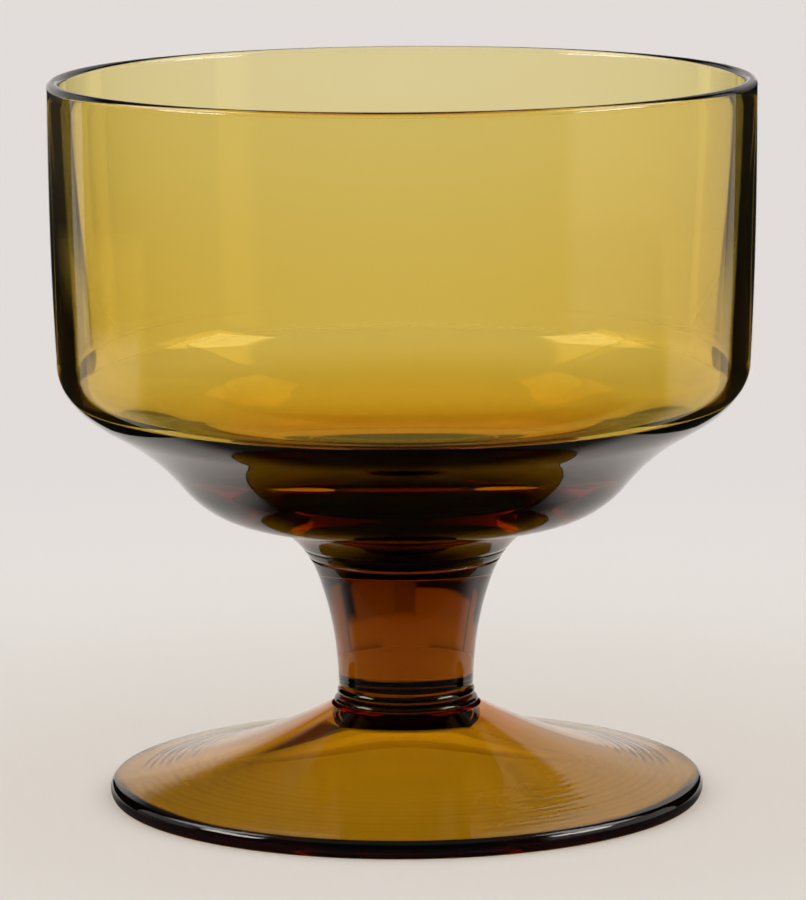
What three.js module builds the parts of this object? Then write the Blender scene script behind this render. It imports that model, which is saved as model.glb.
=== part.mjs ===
// A footed sherbet glass of amber glass: foot, collar, stem and bowl, four gathers welded one on another.
// Millimetres and degrees, +Z up. The origin is the middle of the ring that the foot stands on.
import * as THREE from "three";

// Foot
const FOOT_RADIUS = 38.2;
const FOOT_HEIGHT = 11.7; // from the resting plane to the weld under the collar
const FOOT_EDGE = 2.3; // thickness of the rounded edge
const FOOT_EDGE_ROUND = 0.7; // how far the edge rounds over
const FOOT_EDGE_SLOPE = 8; // fall of the top at the edge
const FOOT_NECK_SLOPE = 28; // fall of the top at the collar
const FOOT_NECK_LEDGE = 0.35; // how far the neck reaches out beyond the collar
const REST_WIDTH = 2.1; // width of the flat ring that the foot stands on
const CROWN_THICKNESS = 2.8; // glass between the collar and the hollow underside
const CROWN_DROP = 1.1; // fall of the hollow's crown from its middle to its edge
const CROWN_SLOPE = 22; // fall of the hollow at the edge of its crown
const HOLLOW_EDGE_SLOPE = 10; // fall of the hollow where it meets the resting ring

// Collar
const COLLAR_HEIGHT = 2.3;
const LOWER_RING_PROUD = 0.6; // how far each ring stands out from the stem's base
const UPPER_RING_PROUD = 0.2;
const GROOVE_DEPTH = 0.2; // how far the grooves cut in from the stem's base

// Stem
const STEM_LENGTH = 14.8;
const STEM_BASE_RADIUS = 8.65;
const STEM_TOP_RADIUS = 11.3;
const STEM_BASE_LEAN = 1; // from upright
const STEM_TOP_LEAN = 20.5;

// Bowl, outside: heights are above the weld on the stem
const FLARE_WIDTH = 8.7; // the flared neck's reach beyond the stem
const FLARE_HEIGHT = 7.2;
const FLARE_SLOPE = 3; // rise where the flare runs out under the base
const WAIST_INSET = 7.5; // from the rim's radius in to the waist between base and shoulder
const WAIST_HEIGHT = 19.2;
const WAIST_SLOPE = 29.5;
const STEP_DROP = 7.17; // from the waist down to the middle of the stepped base
const STEP_SLOPE = 51;
const SHOULDER_RISE = 8; // from the waist up to the top of the shoulder
const SHOULDER_INSET = 0.75; // how far the wall draws in from the rim down to the shoulder
const SHOULDER_SLOPE = 87;
const WALL_HEIGHT = 36.4; // from the shoulder to the top of the rim
const RIM_RADIUS = 45;

// Bowl, inside
const RIM_WALL = 1.7;
const SHOULDER_WALL = 2.4;
const FLOOR_FALL = 8.3; // from the shoulder's height down to the edge of the dished floor
const FLOOR_CORNER = 13.75; // width of the rounded corner between wall and floor
const FLOOR_EDGE_SLOPE = 25;
const FLOOR_DISH = 4.6; // fall of the floor from its edge to its middle

// Fineness of the facets
const TURN_STEPS = 48;
const CURVE_STEPS = 5;

// Length of a curve's handle as a share of its chord, close to that of a circular arc
const HANDLE = 0.35;

// Colour seen through each piece: the same glass, darker where it is thick
const FOOT_COLOR = 0xa06c0c;
const COLLAR_COLOR = 0x3c1f08;
const STEM_COLOR = 0x6b3208;
const BOWL_COLOR = 0xc79a35;
const GLASS_ROUGHNESS = 0.05;
const GLASS_OPACITY = 0.7;

// A place on a profile: radius, height and the way that the outline runs there, turning from outwards to upwards.
function station(radius, height, way) {
  return { radius, height, way: THREE.MathUtils.degToRad(way) };
}

// Runs the path through the stations in order, in one smooth curve from each to the next.
function sweep(path, ...stations) {
  for (let i = 1; i < stations.length; i += 1) {
    const from = stations[i - 1];
    const to = stations[i];
    const reach = HANDLE * Math.hypot(to.radius - from.radius, to.height - from.height);
    path.bezierCurveTo(
      from.radius + reach * Math.cos(from.way),
      from.height + reach * Math.sin(from.way),
      to.radius - reach * Math.cos(to.way),
      to.height - reach * Math.sin(to.way),
      to.radius,
      to.height,
    );
  }
}

// Turns a profile that starts and ends on the axis into a solid that stands along +Z.
function turned(path) {
  const geometry = new THREE.LatheGeometry(path.getPoints(CURVE_STEPS), TURN_STEPS);
  return geometry.rotateX(Math.PI / 2);
}

// The foot: a hollow underside, a flat ring to stand on, a rounded edge and a trumpet-shaped top.
function footGeometry() {
  const neckRadius = STEM_BASE_RADIUS + LOWER_RING_PROUD + FOOT_NECK_LEDGE;
  const restOuter = FOOT_RADIUS - FOOT_EDGE_ROUND;
  const hollowHeight = FOOT_HEIGHT - CROWN_THICKNESS;
  const path = new THREE.Path();
  path.moveTo(0, hollowHeight);
  sweep(
    path,
    station(0, hollowHeight, 0),
    station(neckRadius, hollowHeight - CROWN_DROP, -CROWN_SLOPE),
    station(restOuter - REST_WIDTH, 0, -HOLLOW_EDGE_SLOPE),
  );
  path.lineTo(restOuter, 0);
  sweep(
    path,
    station(restOuter, 0, 0),
    station(FOOT_RADIUS, FOOT_EDGE / 2, 90),
    station(restOuter, FOOT_EDGE, 180 - FOOT_EDGE_SLOPE),
    station(neckRadius, FOOT_HEIGHT, 180 - FOOT_NECK_SLOPE),
  );
  path.lineTo(0, FOOT_HEIGHT);
  return turned(path);
}

// The collar: a wide ring below and a narrow one above, with a groove under each and over the upper.
function collarGeometry() {
  const groove = STEM_BASE_RADIUS - GROOVE_DEPTH;
  const ringHeight = COLLAR_HEIGHT / 2;
  const path = new THREE.Path();
  path.moveTo(0, 0);
  path.lineTo(groove, 0);
  [LOWER_RING_PROUD, UPPER_RING_PROUD].forEach((proud, i) => {
    sweep(
      path,
      station(groove, i * ringHeight, 0),
      station(STEM_BASE_RADIUS + proud, (i + 0.5) * ringHeight, 90),
      station(groove, (i + 1) * ringHeight, 180),
    );
  });
  path.lineTo(0, COLLAR_HEIGHT);
  return turned(path);
}

// The stem: narrowest at the collar, opening towards the bowl.
function stemGeometry() {
  const path = new THREE.Path();
  path.moveTo(0, 0);
  path.lineTo(STEM_BASE_RADIUS, 0);
  sweep(
    path,
    station(STEM_BASE_RADIUS, 0, 90 - STEM_BASE_LEAN),
    station(STEM_TOP_RADIUS, STEM_LENGTH, 90 - STEM_TOP_LEAN),
  );
  path.lineTo(0, STEM_LENGTH);
  return turned(path);
}

// The bowl: up the outside from the weld, over the rounded rim, and down the inside to the floor.
function bowlGeometry() {
  const flareRadius = STEM_TOP_RADIUS + FLARE_WIDTH;
  const waistRadius = RIM_RADIUS - WAIST_INSET;
  const stepRadius = (flareRadius + waistRadius) / 2;
  const shoulderRadius = RIM_RADIUS - SHOULDER_INSET;
  const shoulderHeight = WAIST_HEIGHT + SHOULDER_RISE;
  const lip = RIM_WALL / 2;
  const lipHeight = shoulderHeight + WALL_HEIGHT - lip;
  const innerShoulder = shoulderRadius - SHOULDER_WALL;
  const floorEdge = shoulderHeight - FLOOR_FALL;
  const path = new THREE.Path();
  path.moveTo(0, 0);
  path.lineTo(STEM_TOP_RADIUS, 0);
  sweep(
    path,
    station(STEM_TOP_RADIUS, 0, 90 - STEM_TOP_LEAN),
    station(flareRadius, FLARE_HEIGHT, FLARE_SLOPE),
    station(stepRadius, WAIST_HEIGHT - STEP_DROP, STEP_SLOPE),
    station(waistRadius, WAIST_HEIGHT, WAIST_SLOPE),
    station(shoulderRadius, shoulderHeight, SHOULDER_SLOPE),
    station(RIM_RADIUS, lipHeight, 90),
  );
  path.absarc(RIM_RADIUS - lip, lipHeight, lip, 0, Math.PI);
  sweep(
    path,
    station(RIM_RADIUS - RIM_WALL, lipHeight, -90),
    station(innerShoulder, shoulderHeight, SHOULDER_SLOPE - 180),
    station(innerShoulder - FLOOR_CORNER, floorEdge, FLOOR_EDGE_SLOPE - 180),
    station(0, floorEdge - FLOOR_DISH, -180),
  );
  return turned(path);
}

// The pieces from the bottom up: name, solid, height of the stack that it adds, and colour.
const PIECES = [
  ["foot", footGeometry, FOOT_HEIGHT, FOOT_COLOR],
  ["collar", collarGeometry, COLLAR_HEIGHT, COLLAR_COLOR],
  ["stem", stemGeometry, STEM_LENGTH, STEM_COLOR],
  ["bowl", bowlGeometry, WAIST_HEIGHT + SHOULDER_RISE + WALL_HEIGHT, BOWL_COLOR],
];

const sherbetGlass = new THREE.Group();
let stackHeight = 0;
for (const [name, makeGeometry, height, color] of PIECES) {
  const glass = new THREE.MeshStandardMaterial({
    color,
    roughness: GLASS_ROUGHNESS,
    metalness: 0,
    transparent: true,
    opacity: GLASS_OPACITY,
  });
  const piece = new THREE.Mesh(makeGeometry(), glass);
  piece.name = name;
  piece.position.z = stackHeight;
  sherbetGlass.add(piece);
  stackHeight += height;
}

export default sherbetGlass;
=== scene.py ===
# Dresses the amber sherbet glass: five meshes of clear glass for its four welded pieces, in a soft studio.
# Metres and degrees, +Z up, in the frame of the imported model.
import math

import bpy
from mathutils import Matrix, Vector


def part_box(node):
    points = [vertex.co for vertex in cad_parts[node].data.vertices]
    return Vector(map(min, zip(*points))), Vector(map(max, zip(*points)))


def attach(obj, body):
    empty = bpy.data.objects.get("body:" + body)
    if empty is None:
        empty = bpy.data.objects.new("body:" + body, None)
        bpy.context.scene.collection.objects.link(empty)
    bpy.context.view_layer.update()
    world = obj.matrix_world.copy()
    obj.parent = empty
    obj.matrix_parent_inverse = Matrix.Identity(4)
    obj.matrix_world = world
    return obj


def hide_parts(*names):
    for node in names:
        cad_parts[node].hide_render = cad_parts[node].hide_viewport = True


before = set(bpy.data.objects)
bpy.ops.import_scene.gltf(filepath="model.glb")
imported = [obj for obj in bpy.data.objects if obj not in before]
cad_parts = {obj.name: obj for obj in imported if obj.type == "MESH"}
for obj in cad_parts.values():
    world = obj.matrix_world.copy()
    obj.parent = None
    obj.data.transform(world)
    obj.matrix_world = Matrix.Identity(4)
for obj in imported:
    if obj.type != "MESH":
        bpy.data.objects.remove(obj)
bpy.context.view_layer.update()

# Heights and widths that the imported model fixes
FOOT_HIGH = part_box("foot")[1]
COLLAR_LOW, COLLAR_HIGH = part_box("collar")
STEM_LOW, STEM_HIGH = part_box("stem")
BOWL_LOW, BOWL_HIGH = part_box("bowl")

# Foot
FOOT_RADIUS = FOOT_HIGH[0]
FOOT_HEIGHT = FOOT_HIGH[2]
FOOT_EDGE = 0.0023
FOOT_EDGE_ROUND = 0.0007
FOOT_EDGE_SLOPE = 8
FOOT_NECK_SLOPE = 28
FOOT_NECK_RADIUS = 0.0096
REST_WIDTH = 0.0021
CROWN_THICKNESS = 0.0028
CROWN_DROP = 0.0011
CROWN_SLOPE = 22
HOLLOW_EDGE_SLOPE = 10

# Rings that the shaping tool left on the foot's top
MARKS_INNER = 0.022
MARK_PITCH = 0.0011
MARK_PITCH_LONG = 0.0026
MARK_DEPTH = 0.000008
MARK_STEPS = 160

# Collar and stem
STEM_BASE_RADIUS = 0.00865
STEM_TOP_RADIUS = STEM_HIGH[0]
STEM_BASE_LEAN = 1
STEM_TOP_LEAN = 20.5
RINGS_PROUD = (0.0006, 0.0002)
GROOVE_DEPTH = 0.0002

# Bowl, outside: heights are above the weld on the stem
RIM_RADIUS = BOWL_HIGH[0]
FLARE_RADIUS = 0.020
FLARE_HEIGHT = 0.0072
FLARE_SLOPE = 3
WAIST_RADIUS = 0.0375
WAIST_HEIGHT = 0.0192
WAIST_SLOPE = 29.5
STEP_RADIUS = 0.02875
STEP_HEIGHT = 0.01203
STEP_SLOPE = 51
SHOULDER_RADIUS = 0.04425
SHOULDER_HEIGHT = 0.0272
SHOULDER_SLOPE = 87

# Bowl, inside
RIM_WALL = 0.0017
SHOULDER_WALL = 0.0024
FLOOR_CORNER = 0.01375
FLOOR_FALL = 0.0083
FLOOR_EDGE_SLOPE = 25
FLOOR_DISH = 0.0046

# Dark core where the stem's gather sits in the bowl's base
CORE_FOOT = 5  # steps of the flare at which its side starts and ends
CORE_EDGE = 8
CORE_SLOPE = 65  # of the dome at its edge
CORE_HEIGHT = 0.0132  # of the dome above the CAD weld

# Half of the gap that keeps two welded faces apart
WELD_GAP = 0.000002

# Fineness of the meshes
TURN_STEPS = 256
CURVE_STEPS = 24
HANDLE = 0.35  # length of a curve's handle as a share of its chord
AXIS_RADIUS = 1e-9  # a point nearer than this is on the axis

# Glass
GLASS_IOR = 1.52
WELD_IOR = 1  # light passes a weld without bending
GLASS_DENSITY = 1000  # strength of the tints per metre
BOWL_TINT = (0.9725, 0.904, 0.52, 1)
FOOT_TINT = (0.978, 0.872, 0.3, 1)
STEM_TINT = (0.913, 0.826, 0.4, 1)
CORE_TINT = (0.85, 0.74, 0.1, 1)
WHITE = (1, 1, 1, 1)

# Camera
CAMERA_PLACE = (0.0006, -0.6789, 0.15672)
CAMERA_PITCH = 9.38
CAMERA_ROLL = 0.4
CAMERA_LENS = 215.1

# Bounces of light, enough for the thick base
BOUNCES = 48
GLOSSY_BOUNCES = 24

# Background and floor
BACKGROUND = (0.761, 0.723, 0.701, 1)
FLOOR_COLOR = (0.83, 0.785, 0.745, 1)
FLOOR_RADIUS = 3
FLOOR_DROP = 0.00002  # keeps the floor just under the foot
FAR_COLOR = (0.76, 0.722, 0.7, 1)
FAR_FLOOR = (0.08, 0.28)  # distances from the axis between which the floor takes on the far colour
FLOOR_FADE = (0.33, 0.4)  # distances between which it fades out for all rays but the camera's
NEAR_COLOR = (0.08, 0.08, 0.08, 1)
NEAR_FLOOR = (0.015, -0.01)  # places along Y between which its near side turns dark in reflections

# Painted pool of light on the floor under the foot: a brighter patch that stands in for the light the glass
# lets through
UNDER_FOOT_LIGHT_COLOR = (1, 0.96, 0.93, 1)
UNDER_FOOT_LIGHT_EDGE = (0.0383, 0.0378)  # distances between which the floor turns to the painted light

# Panels of light in the studio, in degrees round from straight behind the glass and degrees up
PANELS = (
    # middle, half width, blur of the sides, lowest, highest, blur of the ends, strength
    (0, 13.5, 1, -20, 4, 4, 0.79),
    (0, 40, 4, -3, 6, 6, 0.79),
    (12, 17, 4, -3, 29, 8, 0.38),
    (17, 13, 5, -3, 31, 4, 0.5),
    (-24, 20, 4, -3, 14, 3, 0.7),
    (-50.7, 4.7, 1, -14, 20, 4, 0.75),
    (83, 42, 8, -14, 25, 6, 0.6),
    (0, 181, 1, 40, 91, 20, 0.2),
)

# The rest of the studio, pale when it is seen through the glass without a reflection
SURROUND = (180, 128, 8, -91, 8, 6, 0.76)

# Lamps that show only where the glass mirrors them once
LAMPS = (
    (-78, 20, 2, 30, 60, 4, 4.0),
    (84, 20, 2, 30, 60, 4, 4.0),
    (0, 40, 8, 4, 18, 6, 0.55),
    (-55, 35, 8, 6, 28, 8, 0.5),
)

# Bright strips on both sides that show only as glints on the glass's outside
GLINTS = (
    (-105, 14, 4, 20, 32, 4, 12.0),
    (105, 14, 4, 20, 32, 4, 12.0),
)

# Colour and limits of the studio's light
STUDIO_COLOR = (1, 0.95, 0.92, 1)
DARK_LEVEL = 0.03  # light between the panels
DARK_MIRRORS = 4  # number of reflections from which on the studio is dark
DEPTH_MARGIN = 0.5  # a test for a ray depth, which is a whole number, lies this far from it

# Even light on the floor, from a band of sky
EVEN_LEVEL = 1.78
EVEN_START = (18, 26)  # degrees up between which the band starts
EVEN_END = (62, 52)  # degrees up between which it ends

# Black cards close on both sides, just outside the picture, that darken the glass's edges
CARD_ASIDE = (0.060, 0.066)  # near and far end
CARD_BEHIND = (0.001, 0.100)
CARD_COLOR = (0.02, 0.02, 0.02, 1)
CARDS = (
    # name, side, heights between which the card fades out
    ("card_left", -1, (0.055, 0.085)),
    ("card_right", 1, (0.085, 0.110)),
)


def station(radius, height, way):
    """A place on a profile, and the way that the outline runs there, turning from outwards to upwards."""
    angle = math.radians(way)
    return Vector((radius, height)), Vector((math.cos(angle), math.sin(angle)))


def sweep(*stations, steps=CURVE_STEPS):
    """Points on one smooth curve through the stations."""
    points = [stations[0][0]]
    for (start, out), (end, into) in zip(stations, stations[1:]):
        reach = HANDLE * (end - start).length
        a = start + out * reach
        b = end - into * reach
        for i in range(1, steps + 1):
            t = i / steps
            u = 1 - t
            points.append(start * u**3 + a * 3 * u * u * t + b * 3 * u * t * t + end * t**3)
    return points


def raised(point, height):
    """A point of a profile, moved up."""
    return point + Vector((0, height))


def circle(radius, height):
    """Places round the axis."""
    angles = [2 * math.pi * i / TURN_STEPS for i in range(TURN_STEPS)]
    return [(radius * math.cos(angle), radius * math.sin(angle), height) for angle in angles]


def add_mesh(name, vertices, faces):
    """A new mesh in the scene, as an object of the same name."""
    mesh = bpy.data.meshes.new(name)
    mesh.from_pydata(vertices, [], faces)
    obj = bpy.data.objects.new(name, mesh)
    bpy.context.scene.collection.objects.link(obj)
    return obj


def turned(name, profile, weld_rows=()):
    """A closed mesh turned about +Z, with the steps of its profile that are weld faces.

    An end of the profile that isn't on the axis is closed by a flat weld face.
    """
    vertices = []
    rings = []
    for radius, height in profile:
        first = len(vertices)
        vertices += [(0, 0, height)] if radius < AXIS_RADIUS else circle(radius, height)
        rings.append(list(range(first, len(vertices))))
    faces = []
    welds = []
    for row, (low, high) in enumerate(zip(rings, rings[1:])):
        welds += [row in weld_rows] * TURN_STEPS
        for i in range(TURN_STEPS):
            j = (i + 1) % TURN_STEPS
            corners = [low[i % len(low)], low[j % len(low)], high[j % len(high)], high[i % len(high)]]
            faces.append(list(dict.fromkeys(corners)))
    for end in (rings[0][::-1], rings[-1]):
        if len(end) > 1:
            faces.append(end)
            welds.append(True)
    obj = add_mesh(name, vertices, faces)
    obj.data.polygons.foreach_set("use_smooth", [not weld for weld in welds])
    marks = obj.data.attributes.new("weld", "FLOAT", "FACE")
    marks.data.foreach_set("value", [float(weld) for weld in welds])
    obj.data.update()
    return obj


def tool_mark(radius):
    """Height of the faint rings that the shaping tool left round the outer part of the foot's top."""
    if radius <= MARKS_INNER:
        return 0
    share = max(0, math.sin(math.pi * (radius - MARKS_INNER) / (FOOT_RADIUS - MARKS_INNER)))
    wave = math.sin(2 * math.pi * radius / MARK_PITCH) + math.sin(2 * math.pi * radius / MARK_PITCH_LONG)
    return MARK_DEPTH * share * wave


def make_foot():
    """A hollow underside, a flat ring to stand on, a rounded edge and a trumpet-shaped top."""
    rest_outer = FOOT_RADIUS - FOOT_EDGE_ROUND
    hollow = FOOT_HEIGHT - CROWN_THICKNESS
    profile = sweep(
        station(0, hollow, 0),
        station(FOOT_NECK_RADIUS, hollow - CROWN_DROP, -CROWN_SLOPE),
        station(rest_outer - REST_WIDTH, 0, -HOLLOW_EDGE_SLOPE),
    )
    profile += sweep(
        station(rest_outer, 0, 0),
        station(FOOT_RADIUS, FOOT_EDGE / 2, 90),
        station(rest_outer, FOOT_EDGE, 180 - FOOT_EDGE_SLOPE),
    )
    top = sweep(
        station(rest_outer, FOOT_EDGE, 180 - FOOT_EDGE_SLOPE),
        station(FOOT_NECK_RADIUS, FOOT_HEIGHT - WELD_GAP, 180 - FOOT_NECK_SLOPE),
        steps=MARK_STEPS,
    )
    return turned("foot_glass", profile + [raised(point, tool_mark(point[0])) for point in top[1:]])


def make_collar():
    """A wide ring below and a narrow one above, with grooves between."""
    low = COLLAR_LOW[2] + WELD_GAP
    high = COLLAR_HIGH[2] - WELD_GAP
    groove = STEM_BASE_RADIUS - GROOVE_DEPTH
    ring = (high - low) / len(RINGS_PROUD)
    profile = [Vector((groove, low))]
    for i, proud in enumerate(RINGS_PROUD):
        profile += sweep(
            station(groove, low + i * ring, 0),
            station(STEM_BASE_RADIUS + proud, low + (i + 0.5) * ring, 90),
            station(groove, low + (i + 1) * ring, 180),
        )[1:]
    return turned("collar_glass", profile)


def flare():
    """The outside of the flared neck, from the CAD weld on the stem to the bowl's base."""
    base = BOWL_LOW[2]
    return sweep(
        station(STEM_TOP_RADIUS, base, 90 - STEM_TOP_LEAN),
        station(FLARE_RADIUS, base + FLARE_HEIGHT, FLARE_SLOPE),
    )


def make_stem():
    """Narrowest at the collar, opening towards the bowl, and up the flare to the dark core."""
    profile = sweep(
        station(STEM_BASE_RADIUS, STEM_LOW[2] + WELD_GAP, 90 - STEM_BASE_LEAN),
        station(STEM_TOP_RADIUS, STEM_HIGH[2], 90 - STEM_TOP_LEAN),
    )
    neck = flare()
    top = raised(neck[CORE_FOOT], -WELD_GAP)
    return turned("stem_glass", profile + neck[1:CORE_FOOT] + [top])


def core_top(offset):
    """The domed weld between the dark core and the bowl, moved up by the offset but for its edge."""
    points = sweep(
        station(*flare()[CORE_EDGE], 180 - CORE_SLOPE),
        station(0, BOWL_LOW[2] + CORE_HEIGHT, 180),
    )
    return points[:1] + [raised(point, offset) for point in points[1:]]


def make_core():
    """The dark core: a short stretch of the flare under a dome that is welded to the bowl."""
    side = flare()[CORE_FOOT:CORE_EDGE]
    side[0] = raised(side[0], WELD_GAP)
    profile = side + core_top(-WELD_GAP)
    return turned("core_glass", profile, range(len(side), len(profile) - 1))


def make_bowl():
    """Over the core, up the outside, round the rim, and down the inside to the middle of the floor."""
    base = BOWL_LOW[2]
    lip = RIM_WALL / 2
    lip_height = BOWL_HIGH[2] - lip
    inner_shoulder = SHOULDER_RADIUS - SHOULDER_WALL
    floor_edge = base + SHOULDER_HEIGHT - FLOOR_FALL
    weld = core_top(WELD_GAP)[::-1]
    profile = weld + flare()[CORE_EDGE + 1:]
    profile += sweep(
        station(FLARE_RADIUS, base + FLARE_HEIGHT, FLARE_SLOPE),
        station(STEP_RADIUS, base + STEP_HEIGHT, STEP_SLOPE),
        station(WAIST_RADIUS, base + WAIST_HEIGHT, WAIST_SLOPE),
        station(SHOULDER_RADIUS, base + SHOULDER_HEIGHT, SHOULDER_SLOPE),
        station(RIM_RADIUS, lip_height, 90),
    )[1:]
    middle = Vector((RIM_RADIUS - lip, lip_height))
    for i in range(1, CURVE_STEPS):
        angle = math.pi * i / CURVE_STEPS
        profile.append(middle + lip * Vector((math.cos(angle), math.sin(angle))))
    profile += sweep(
        station(RIM_RADIUS - RIM_WALL, lip_height, -90),
        station(inner_shoulder, base + SHOULDER_HEIGHT, SHOULDER_SLOPE - 180),
        station(inner_shoulder - FLOOR_CORNER, floor_edge, FLOOR_EDGE_SLOPE - 180),
        station(0, floor_edge - FLOOR_DISH, -180),
    )
    return turned("bowl_glass", profile, range(len(weld) - 1))


def new_material(name):
    """A material without nodes, and its tree."""
    material = bpy.data.materials.new(name)
    material.use_nodes = True
    material.node_tree.nodes.clear()
    return material, material.node_tree


def put(tree, socket, value):
    """Sets a socket to a plain value, or links it to another socket."""
    if isinstance(value, bpy.types.NodeSocket):
        tree.links.new(value, socket)
    else:
        socket.default_value = value


def math_node(tree, operation, *values):
    """The result of one operation on values or sockets."""
    node = tree.nodes.new("ShaderNodeMath")
    node.operation = operation
    for socket, value in zip(node.inputs, values):
        put(tree, socket, value)
    return node.outputs[0]


def ramp(tree, value, start, end):
    """0 up to start and 1 from end on, smooth between."""
    node = tree.nodes.new("ShaderNodeMapRange")
    node.interpolation_type = "SMOOTHSTEP"
    put(tree, node.inputs["Value"], value)
    put(tree, node.inputs["From Min"], start)
    put(tree, node.inputs["From Max"], end)
    return node.outputs["Result"]


def at_least(tree, depth, count):
    """1 where a ray depth is the count or more."""
    return math_node(tree, "GREATER_THAN", depth, count - DEPTH_MARGIN)


def less_than(tree, depth, count):
    """1 where a ray depth is less than the count."""
    return math_node(tree, "LESS_THAN", depth, count - DEPTH_MARGIN)


def ray_path(tree):
    """What is known of the ray: its kind, and how often it was mirrored, sent through or scattered."""
    return tree.nodes.new("ShaderNodeLightPath").outputs


def axes(tree, place):
    """X, Y and Z of a place or direction."""
    node = tree.nodes.new("ShaderNodeSeparateXYZ")
    put(tree, node.inputs[0], place)
    return node.outputs


def mix_colors(tree, share, first, second):
    """The first colour where the share is 0, the second where it is 1."""
    node = tree.nodes.new("ShaderNodeMix")
    node.data_type = "RGBA"
    put(tree, node.inputs["Factor"], share)
    colors = [socket for socket in node.inputs if socket.type == "RGBA"]
    for socket, color in zip(colors, (first, second)):
        put(tree, socket, color)
    return next(socket for socket in node.outputs if socket.type == "RGBA")


def mix_shaders(tree, share, first, second):
    """The first shader where the share is 0, the second where it is 1."""
    node = tree.nodes.new("ShaderNodeMixShader")
    for socket, source in zip(node.inputs, (share, first, second)):
        put(tree, socket, source)
    return node.outputs[0]


def paint(tree, color, hidden):
    """Matt paint, clear where hidden is 1."""
    matt = tree.nodes.new("ShaderNodeBsdfDiffuse")
    put(tree, matt.inputs["Color"], color)
    clear = tree.nodes.new("ShaderNodeBsdfTransparent")
    out = tree.nodes.new("ShaderNodeOutputMaterial")
    put(tree, out.inputs["Surface"], mix_shaders(tree, hidden, matt.outputs[0], clear.outputs[0]))


def make_glass(name, color):
    """Clear amber glass, tinted by its depth. Its weld faces let light straight through."""
    material, tree = new_material(name)
    weld = tree.nodes.new("ShaderNodeAttribute")
    weld.attribute_name = "weld"
    bend = tree.nodes.new("ShaderNodeMapRange")
    put(tree, bend.inputs["Value"], weld.outputs["Fac"])
    put(tree, bend.inputs["To Min"], GLASS_IOR)
    put(tree, bend.inputs["To Max"], WELD_IOR)
    glass = tree.nodes.new("ShaderNodeBsdfPrincipled")
    put(tree, glass.inputs["Base Color"], WHITE)
    put(tree, glass.inputs["Roughness"], 0)
    put(tree, glass.inputs["Transmission Weight"], 1)
    put(tree, glass.inputs["IOR"], bend.outputs["Result"])
    tint = tree.nodes.new("ShaderNodeVolumeAbsorption")
    put(tree, tint.inputs["Color"], color)
    put(tree, tint.inputs["Density"], GLASS_DENSITY)
    out = tree.nodes.new("ShaderNodeOutputMaterial")
    put(tree, out.inputs["Surface"], glass.outputs[0])
    put(tree, out.inputs["Volume"], tint.outputs[0])
    return material


def make_floor():
    """A pale round floor with a painted pool of light under the foot. Its near side is dark in a
    reflection, all of it in a second.
    """
    floor = add_mesh("studio_floor", circle(FLOOR_RADIUS, 0), [list(range(TURN_STEPS))])
    floor.location.z = -FLOOR_DROP
    material, tree = new_material("studio_floor")
    place = tree.nodes.new("ShaderNodeTexCoord").outputs["Object"]
    length = tree.nodes.new("ShaderNodeVectorMath")
    length.operation = "LENGTH"
    put(tree, length.inputs[0], place)
    distance = length.outputs["Value"]
    path = ray_path(tree)
    mirrors = path["Glossy Depth"]
    near_side = ramp(tree, axes(tree, place)["Y"], *NEAR_FLOOR)
    near = math_node(tree, "MULTIPLY", at_least(tree, mirrors, 1), near_side)
    dark = math_node(tree, "MAXIMUM", near, at_least(tree, mirrors, 2))
    color = mix_colors(tree, ramp(tree, distance, *FAR_FLOOR), FLOOR_COLOR, FAR_COLOR)
    # Painted light: the floor under the foot turns brighter, for light that passes down through the glass
    color = mix_colors(tree, ramp(tree, distance, *UNDER_FOOT_LIGHT_EDGE), color, UNDER_FOOT_LIGHT_COLOR)
    color = mix_colors(tree, dark, color, NEAR_COLOR)
    not_camera = math_node(tree, "SUBTRACT", 1, path["Is Camera Ray"])
    paint(tree, color, math_node(tree, "MULTIPLY", not_camera, ramp(tree, distance, *FLOOR_FADE)))
    floor.data.materials.append(material)


def make_card(name, side, fade):
    """A black card that only reflections in the glass show."""
    near_x, far_x = (side * aside for aside in CARD_ASIDE)
    near_y, far_y = CARD_BEHIND
    top = fade[1]
    corners = [(near_x, near_y, 0), (far_x, far_y, 0), (far_x, far_y, top), (near_x, near_y, top)]
    card = add_mesh(name, corners, [(0, 1, 2, 3)])
    card.visible_camera = False
    card.visible_diffuse = False
    card.visible_shadow = False
    material, tree = new_material(name)
    path = ray_path(tree)
    lights_floor = at_least(tree, path["Diffuse Depth"], 1)
    straight = less_than(tree, path["Glossy Depth"], 1)
    place = tree.nodes.new("ShaderNodeTexCoord").outputs["Object"]
    faded = ramp(tree, axes(tree, place)["Z"], *fade)
    unseen = math_node(tree, "MAXIMUM", lights_floor, straight)
    paint(tree, CARD_COLOR, math_node(tree, "MAXIMUM", faded, unseen))
    card.data.materials.append(material)


def panel_light(tree, around, up, middle, half_width, side_blur, lowest, highest, end_blur, strength):
    """The light of one studio panel in each direction."""
    away = math_node(tree, "ABSOLUTE", math_node(tree, "SUBTRACT", around, middle))
    across = ramp(tree, away, half_width + side_blur / 2, half_width - side_blur / 2)
    above = ramp(tree, up, lowest - end_blur / 2, lowest + end_blur / 2)
    below = ramp(tree, up, highest + end_blur / 2, highest - end_blur / 2)
    inside = math_node(tree, "MULTIPLY", across, math_node(tree, "MULTIPLY", above, below))
    return math_node(tree, "MULTIPLY", inside, strength)


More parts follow.
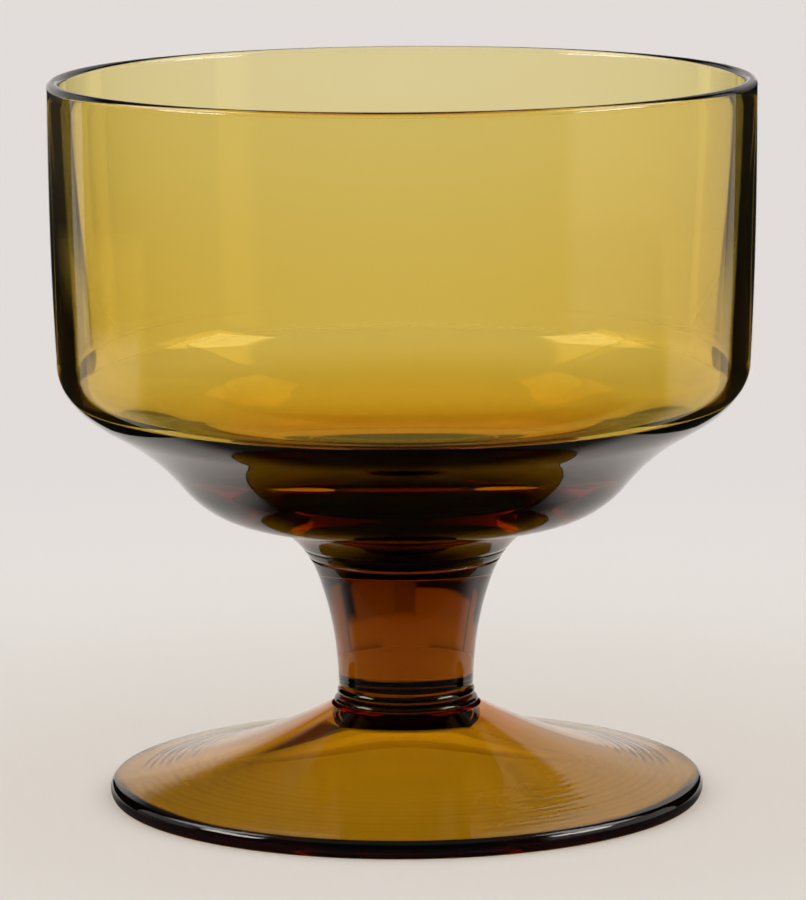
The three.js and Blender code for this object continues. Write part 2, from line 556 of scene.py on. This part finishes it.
def studio_level(tree, path, around, up):
    """The studio's light in each direction, by how often the glass has mirrored the ray."""
    mirrors = path["Glossy Depth"]
    straight = less_than(tree, mirrors, 1)
    once = math_node(tree, "COMPARE", mirrors, 1, DEPTH_MARGIN)
    outside = math_node(tree, "MULTIPLY", once, less_than(tree, path["Transmission Depth"], 1))
    either_side = math_node(tree, "ABSOLUTE", around)
    lights = [panel_light(tree, around, up, *panel) for panel in PANELS]
    lights.append(math_node(tree, "MULTIPLY", straight, panel_light(tree, either_side, up, *SURROUND)))
    for shown, panels in ((once, LAMPS), (outside, GLINTS)):
        for panel in panels:
            lights.append(math_node(tree, "MULTIPLY", shown, panel_light(tree, around, up, *panel)))
    level = DARK_LEVEL
    for light in lights:
        level = math_node(tree, "MAXIMUM", level, light)
    return math_node(tree, "MULTIPLY", level, less_than(tree, mirrors, DARK_MIRRORS))


def glow(tree, color, strength):
    """Light from the world."""
    node = tree.nodes.new("ShaderNodeBackground")
    put(tree, node.inputs["Color"], color)
    put(tree, node.inputs["Strength"], strength)
    return node.outputs[0]


def make_world():
    """Pale for the camera, panels of light for the glass, and even light for the floor."""
    world = bpy.data.worlds.new("studio")
    bpy.context.scene.world = world
    world.use_nodes = True
    # The light depends on the kind of ray, so it is only found by rays that reach it
    world.cycles.sampling_method = "NONE"
    tree = world.node_tree
    tree.nodes.clear()
    path = ray_path(tree)
    way = axes(tree, tree.nodes.new("ShaderNodeTexCoord").outputs["Generated"])
    around = math_node(tree, "DEGREES", math_node(tree, "ARCTAN2", way["X"], way["Y"]))
    up = math_node(tree, "DEGREES", math_node(tree, "ARCSINE", way["Z"]))
    band = math_node(tree, "MULTIPLY", ramp(tree, up, *EVEN_START), ramp(tree, up, *EVEN_END))
    studio = glow(tree, STUDIO_COLOR, studio_level(tree, path, around, up))
    even = glow(tree, WHITE, math_node(tree, "MULTIPLY", band, EVEN_LEVEL))
    pale = glow(tree, BACKGROUND, 1)
    lit = mix_shaders(tree, at_least(tree, path["Diffuse Depth"], 1), studio, even)
    out = tree.nodes.new("ShaderNodeOutputWorld")
    put(tree, out.inputs["Surface"], mix_shaders(tree, path["Is Camera Ray"], lit, pale))


def make_camera():
    """The photo's camera, as fitted to the rim and the foot."""
    data = bpy.data.cameras.new("camera")
    data.lens = CAMERA_LENS
    camera = bpy.data.objects.new("camera", data)
    camera.location = CAMERA_PLACE
    camera.rotation_euler = (math.radians(90 - CAMERA_PITCH), math.radians(CAMERA_ROLL), 0)
    bpy.context.scene.collection.objects.link(camera)
    bpy.context.scene.camera = camera


def make_glassware():
    """The meshes of glass, each with the node that it stands for. Core and bowl are one node."""
    bowl = make_glass("bowl_glass", BOWL_TINT)
    foot = make_glass("foot_glass", FOOT_TINT)
    stem = make_glass("stem_glass", STEM_TINT)
    core = make_glass("core_glass", CORE_TINT)
    pieces = (
        ("foot", make_foot, foot),
        ("collar", make_collar, stem),
        ("stem", make_stem, stem),
        ("bowl", make_core, core),
        ("bowl", make_bowl, bowl),
    )
    for node, make, glass in pieces:
        piece = make()
        piece.data.materials.append(glass)
        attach(piece, "root")
        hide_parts(node)


scene = bpy.context.scene
scene.view_settings.view_transform = "Standard"
scene.cycles.max_bounces = BOUNCES
scene.cycles.transmission_bounces = BOUNCES
scene.cycles.glossy_bounces = GLOSSY_BOUNCES
scene.cycles.transparent_max_bounces = BOUNCES
make_camera()
make_floor()
for card in CARDS:
    make_card(*card)
make_world()
make_glassware()
